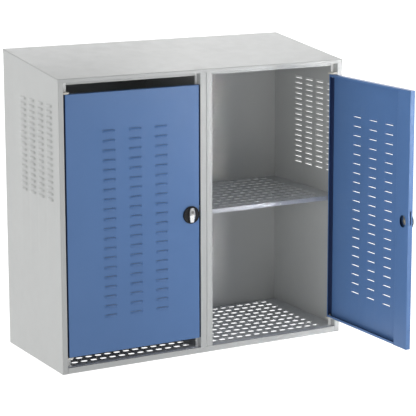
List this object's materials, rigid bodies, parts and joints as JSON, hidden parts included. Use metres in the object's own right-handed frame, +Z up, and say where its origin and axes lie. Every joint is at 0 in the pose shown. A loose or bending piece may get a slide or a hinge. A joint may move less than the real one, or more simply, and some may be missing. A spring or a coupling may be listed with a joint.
{
  "type": "ventilated steel gas cylinder cabinet",
  "caption": "Low steel cabinet with a sloping roof, louvred sides, perforated floors and shelves, and a pair of louvred swing doors with turning lever locks.",
  "frame": {"origin": "on the floor, at the middle of the carcass footprint, on the underside of the base's centre rail", "axes": "+Z up, +X along the cabinet's width from the closed door to the open door, -Y out of the front"},
  "size_m": [1.0614, 0.8934, 1.003],
  "materials": {
    "grey_coat": "light grey powder coat, semi-gloss",
    "dark_sheet": "dark grey coated sheet, satin",
    "blue_coat": "mid blue powder coat, semi-gloss",
    "black_plastic": "satin black moulded plastic",
    "satin_nickel": "satin nickel plate",
    "zinc": "yellowish zinc plate"
  },
  "bodies": {
    "carcass": {"left_side_panel": "grey_coat", "right_side_panel": "grey_coat", "back_panel": "grey_coat", "roof": "grey_coat", "centre_partition": "grey_coat", "left_front_post": "grey_coat", "right_front_post": "grey_coat", "centre_post_left": "grey_coat", "centre_post_right": "grey_coat", "left_header_rail": "grey_coat", "right_header_rail": "grey_coat", "base_front_rail": "grey_coat", "base_left_rail": "grey_coat", "base_right_rail": "grey_coat", "base_rear_rail": "grey_coat", "base_centre_rail": "grey_coat", "left_floor": "dark_sheet", "right_floor": "dark_sheet", "left_shelf": "dark_sheet", "right_shelf": "dark_sheet", "left_shelf_support_left": "grey_coat", "left_shelf_support_right": "grey_coat", "right_shelf_support_left": "grey_coat", "right_shelf_support_right": "grey_coat", "left_upper_hinge_tab": "grey_coat", "left_lower_hinge_tab": "grey_coat", "right_upper_hinge_tab": "grey_coat", "right_lower_hinge_tab": "grey_coat", "left_upper_hinge_pin": "zinc", "left_lower_hinge_pin": "zinc", "right_upper_hinge_pin": "zinc", "right_lower_hinge_pin": "zinc"},
    "left_door": {"left_door_panel": "blue_coat", "left_door_lock_channel": "blue_coat", "left_lock_rosette": "black_plastic", "left_lock_nut": "zinc"},
    "left_lever": {"left_lock_lever": "satin_nickel", "left_lock_spindle": "zinc", "left_latch_tongue": "zinc", "left_tongue_screw": "zinc"},
    "left_key": {"left_key_barrel": "satin_nickel"},
    "right_door": {"right_door_panel": "blue_coat", "right_door_lock_channel": "blue_coat", "right_lock_rosette": "black_plastic", "right_lock_nut": "zinc"},
    "right_lever": {"right_lock_lever": "satin_nickel", "right_lock_spindle": "zinc", "right_latch_tongue": "zinc", "right_tongue_screw": "zinc"},
    "right_key": {"right_key_barrel": "satin_nickel"}
  },
  "joints": [
    {"name": "left_door_hinge", "type": "hinge", "parent": "carcass", "child": "left_door", "pos_m": [-0.4927, -0.20995, 0.05], "axis": [0, 0, -1], "range_deg": [0, 110]},
    {"name": "right_door_hinge", "type": "hinge", "parent": "carcass", "child": "right_door", "pos_m": [0.4927, -0.20995, 0.05], "axis": [0, 0, 1], "range_deg": [-90, 20]},
    {"name": "left_lock_turn", "type": "hinge", "parent": "left_door", "child": "left_lever", "pos_m": [-0.05925, -0.2185, 0.4743], "axis": [0, 1, 0], "range_deg": [0, 90]},
    {"name": "left_key_turn", "type": "hinge", "parent": "left_lever", "child": "left_key", "pos_m": [-0.05925, -0.2185, 0.4848], "axis": [0, 1, 0], "range_deg": [0, 90]},
    {"name": "right_lock_turn", "type": "hinge", "parent": "right_door", "child": "right_lever", "pos_m": [0.50125, -0.6434, 0.4743], "axis": [1, 0, 0], "range_deg": [0, 90]},
    {"name": "right_key_turn", "type": "hinge", "parent": "right_lever", "child": "right_key", "pos_m": [0.50125, -0.6434, 0.4848], "axis": [1, 0, 0], "range_deg": [0, 90]}
  ]
}
